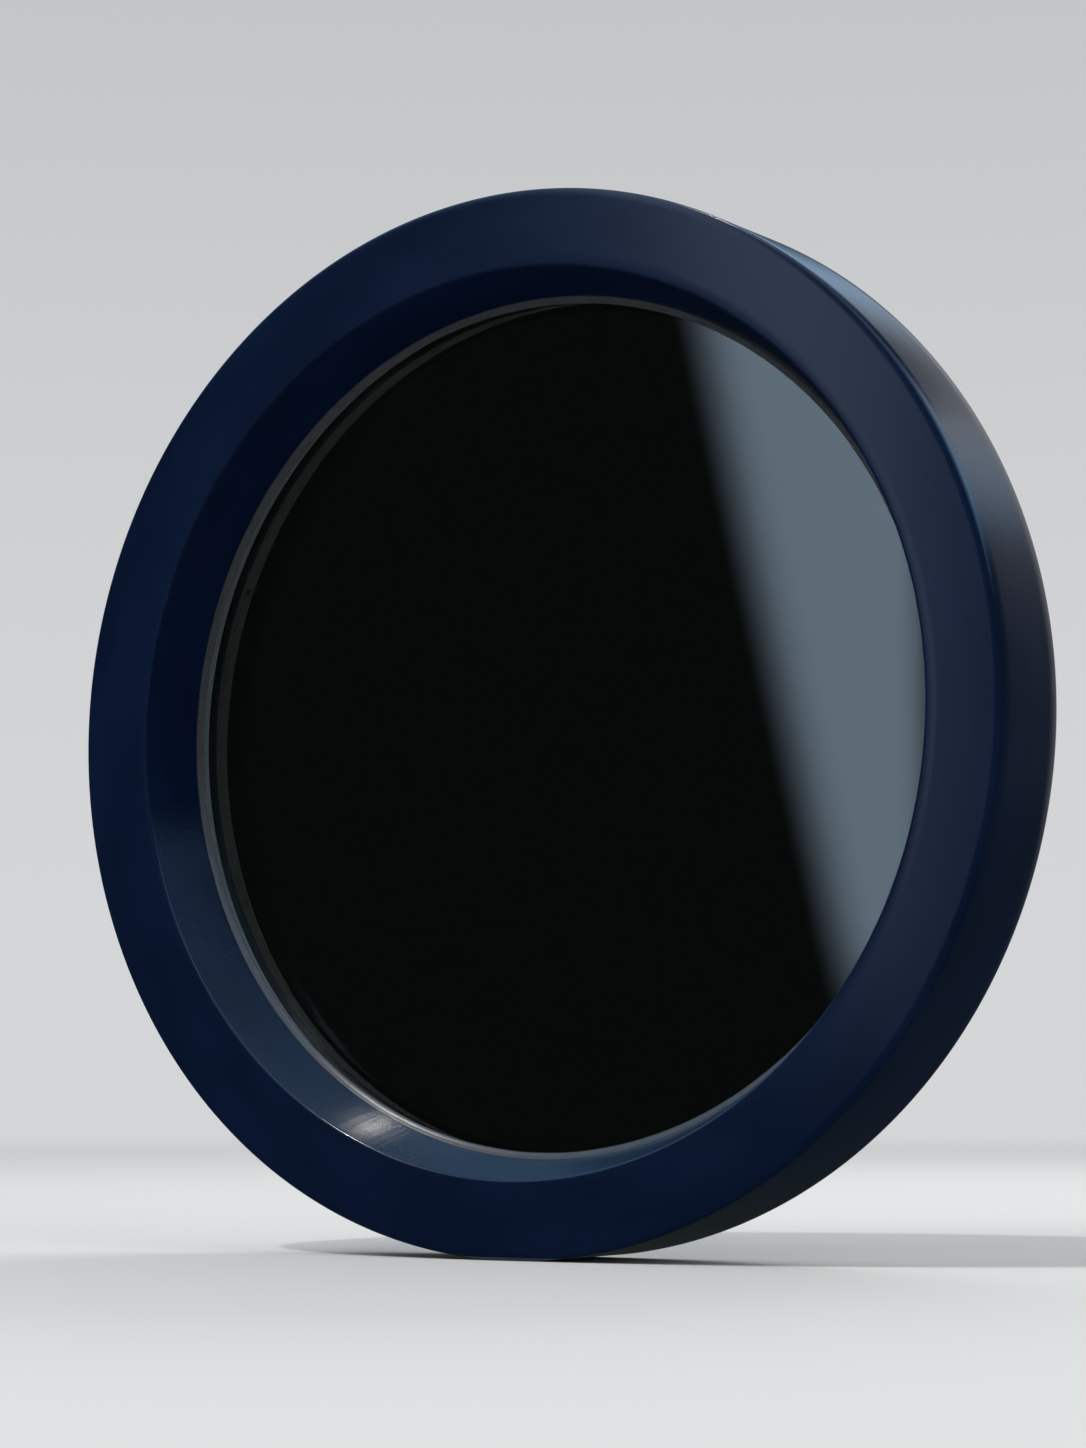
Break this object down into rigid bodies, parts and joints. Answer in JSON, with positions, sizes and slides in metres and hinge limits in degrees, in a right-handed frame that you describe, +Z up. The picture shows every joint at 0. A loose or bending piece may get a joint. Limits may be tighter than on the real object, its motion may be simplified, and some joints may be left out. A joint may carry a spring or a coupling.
{
  "type": "porthole window",
  "caption": "Round fixed window: a turned timber frame with a sloped outdoor stop, an insulating glass unit and screwed room-side beads.",
  "frame": {"origin": "on the window's own axis, halfway through the frame's depth", "axes": "+Y along the window's axis from outdoors towards the room, +Z up, +X to the right seen from outdoors"},
  "size_m": [0.98, 0.114, 0.98],
  "materials": {
    "blue_paint": "gloss paint on timber, navy blue",
    "room_paint": "satin paint on timber, off-white",
    "foam_tape": "closed-cell foam, dark grey",
    "grey_sealant": "smooth silicone, light grey",
    "clear_glass": "clear float glass",
    "dark_glass": "polished, reads near black",
    "butyl": "matt black butyl",
    "edge_rubber": "matt black sealant",
    "spacer_aluminium": "mill finish, roll formed",
    "key_plastic": "moulded, dark grey",
    "desiccant_grain": "small beige beads",
    "block_plastic": "moulded, grey",
    "stainless_steel": "plain stainless"
  },
  "bodies": {
    "root": {"outer_frame": "blue_paint", "outer_glazing_tape": "foam_tape", "outer_sealant": "grey_sealant", "outer_pane": "clear_glass", "outer_butyl_seal": "butyl", "spacer_bar": "spacer_aluminium", "spacer_key": "key_plastic", "desiccant": "desiccant_grain", "inner_butyl_seal": "butyl", "edge_sealant": "edge_rubber", "inner_pane": "dark_glass", "inner_glazing_tape": "foam_tape", "glazing_bead_top": "room_paint", "glazing_bead_right": "room_paint", "glazing_bead_bottom": "room_paint", "glazing_bead_left": "room_paint", "bead_screws": "stainless_steel", "setting_block_left": "block_plastic", "setting_block_right": "block_plastic", "locating_block_left": "block_plastic", "locating_block_top": "block_plastic", "locating_block_right": "block_plastic"}
  },
  "joints": []
}
